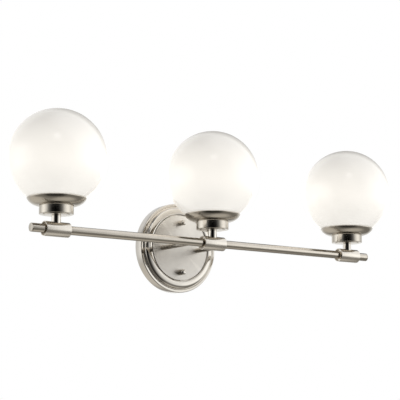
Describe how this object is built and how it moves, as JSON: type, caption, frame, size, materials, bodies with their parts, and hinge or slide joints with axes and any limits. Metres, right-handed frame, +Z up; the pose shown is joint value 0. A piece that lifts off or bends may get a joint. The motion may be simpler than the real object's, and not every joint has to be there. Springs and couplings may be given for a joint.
{
  "type": "vanity light bar",
  "caption": "Wall vanity light bar: opal globes in saucer fitters on a nickel tube, carried by two short arms from a round stepped canopy.",
  "frame": {"origin": "centre of the canopy's back, on the wall", "axes": "+X along the bar to the right as one faces the wall, +Y into the wall, +Z up towards the globes"},
  "size_m": [0.8648, 0.2254, 0.3052],
  "materials": {
    "satin_nickel": "satin nickel plate",
    "polished_nickel": "polished nickel plate",
    "zinc_steel": "zinc plated",
    "green_screw": "green dyed zinc",
    "brass": "plain",
    "porcelain": "white glazed porcelain",
    "soft_seal": "matt",
    "opal_glass": "glossy opal, lit from inside",
    "bulb_glass": "frosted, lit",
    "lead_jacket": "matt"
  },
  "bodies": {
    "fixture": {"canopy_pan": "polished_nickel", "canopy_disc": "satin_nickel", "mounting_strap": "zinc_steel", "ground_screw": "green_screw", "mounting_stud_top": "zinc_steel", "mounting_stud_bottom": "zinc_steel", "cap_nut_top": "polished_nickel", "cap_nut_bottom": "polished_nickel", "support_arm_left": "satin_nickel", "support_arm_right": "satin_nickel", "arm_nut_left": "zinc_steel", "arm_nut_right": "zinc_steel", "bar_tube": "satin_nickel", "bar_end_cap_left": "satin_nickel", "bar_end_cap_right": "satin_nickel", "collar_left": "satin_nickel", "collar_middle": "satin_nickel", "collar_right": "satin_nickel", "nipple_left": "zinc_steel", "nipple_middle": "zinc_steel", "nipple_right": "zinc_steel", "stem_left": "polished_nickel", "stem_middle": "polished_nickel", "stem_right": "polished_nickel", "socket_cup_left": "satin_nickel", "socket_cup_middle": "satin_nickel", "socket_cup_right": "satin_nickel", "fitter_bowl_left": "satin_nickel", "fitter_bowl_middle": "satin_nickel", "fitter_bowl_right": "satin_nickel", "lock_nut_left": "brass", "lock_nut_middle": "brass", "lock_nut_right": "brass", "socket_body_left": "porcelain", "socket_body_middle": "porcelain", "socket_body_right": "porcelain", "socket_shell_left": "brass", "socket_shell_middle": "brass", "socket_shell_right": "brass", "socket_contact_left": "brass", "socket_contact_middle": "brass", "socket_contact_right": "brass", "lamp_lead_left": "lead_jacket", "lamp_lead_middle": "lead_jacket", "lamp_lead_right": "lead_jacket"},
    "globe_seal_left": {"globe_gasket_left": "soft_seal"},
    "globe_left": {"globe_left": "opal_glass"},
    "bulb_tip_left": {"bulb_contact_left": "brass"},
    "bulb_left": {"bulb_cap_left": "brass", "bulb_envelope_left": "bulb_glass"},
    "globe_seal_middle": {"globe_gasket_middle": "soft_seal"},
    "globe_middle": {"globe_middle": "opal_glass"},
    "bulb_tip_middle": {"bulb_contact_middle": "brass"},
    "bulb_middle": {"bulb_cap_middle": "brass", "bulb_envelope_middle": "bulb_glass"},
    "globe_seal_right": {"globe_gasket_right": "soft_seal"},
    "globe_right": {"globe_right": "opal_glass"},
    "bulb_tip_right": {"bulb_contact_right": "brass"},
    "bulb_right": {"bulb_cap_right": "brass", "bulb_envelope_right": "bulb_glass"}
  },
  "joints": [
    {"name": "globe_left_lift", "type": "slide", "parent": "fixture", "child": "globe_seal_left", "axis": [0, 0, 1], "range_m": [0, 0.0081]},
    {"name": "globe_left_turn", "type": "hinge", "parent": "globe_seal_left", "child": "globe_left", "pos_m": [-0.343, -0.136, -0.003], "axis": [0, 0, 1], "range_deg": [0, 720]},
    {"name": "bulb_left_lift", "type": "slide", "parent": "fixture", "child": "bulb_tip_left", "axis": [0, 0, 1], "range_m": [0, 0.0092]},
    {"name": "bulb_left_turn", "type": "hinge", "parent": "bulb_tip_left", "child": "bulb_left", "pos_m": [-0.343, -0.136, -0.003], "axis": [0, 0, 1], "range_deg": [0, 900]},
    {"name": "globe_middle_lift", "type": "slide", "parent": "fixture", "child": "globe_seal_middle", "axis": [0, 0, 1], "range_m": [0, 0.0081]},
    {"name": "globe_middle_turn", "type": "hinge", "parent": "globe_seal_middle", "child": "globe_middle", "pos_m": [0, -0.136, -0.003], "axis": [0, 0, 1], "range_deg": [0, 720]},
    {"name": "bulb_middle_lift", "type": "slide", "parent": "fixture", "child": "bulb_tip_middle", "axis": [0, 0, 1], "range_m": [0, 0.0092]},
    {"name": "bulb_middle_turn", "type": "hinge", "parent": "bulb_tip_middle", "child": "bulb_middle", "pos_m": [0, -0.136, -0.003], "axis": [0, 0, 1], "range_deg": [0, 900]},
    {"name": "globe_right_lift", "type": "slide", "parent": "fixture", "child": "globe_seal_right", "axis": [0, 0, 1], "range_m": [0, 0.0081]},
    {"name": "globe_right_turn", "type": "hinge", "parent": "globe_seal_right", "child": "globe_right", "pos_m": [0.343, -0.136, -0.003], "axis": [0, 0, 1], "range_deg": [0, 720]},
    {"name": "bulb_right_lift", "type": "slide", "parent": "fixture", "child": "bulb_tip_right", "axis": [0, 0, 1], "range_m": [0, 0.0092]},
    {"name": "bulb_right_turn", "type": "hinge", "parent": "bulb_tip_right", "child": "bulb_right", "pos_m": [0.343, -0.136, -0.003], "axis": [0, 0, 1], "range_deg": [0, 900]}
  ],
  "couplings": [
    {"joint": "globe_left_lift", "follows": "globe_left_turn", "m_per_rad": 0.00063662},
    {"joint": "bulb_left_lift", "follows": "bulb_left_turn", "m_per_rad": 0.0005775},
    {"joint": "globe_middle_lift", "follows": "globe_middle_turn", "m_per_rad": 0.00063662},
    {"joint": "bulb_middle_lift", "follows": "bulb_middle_turn", "m_per_rad": 0.0005775},
    {"joint": "globe_right_lift", "follows": "globe_right_turn", "m_per_rad": 0.00063662},
    {"joint": "bulb_right_lift", "follows": "bulb_right_turn", "m_per_rad": 0.0005775}
  ]
}
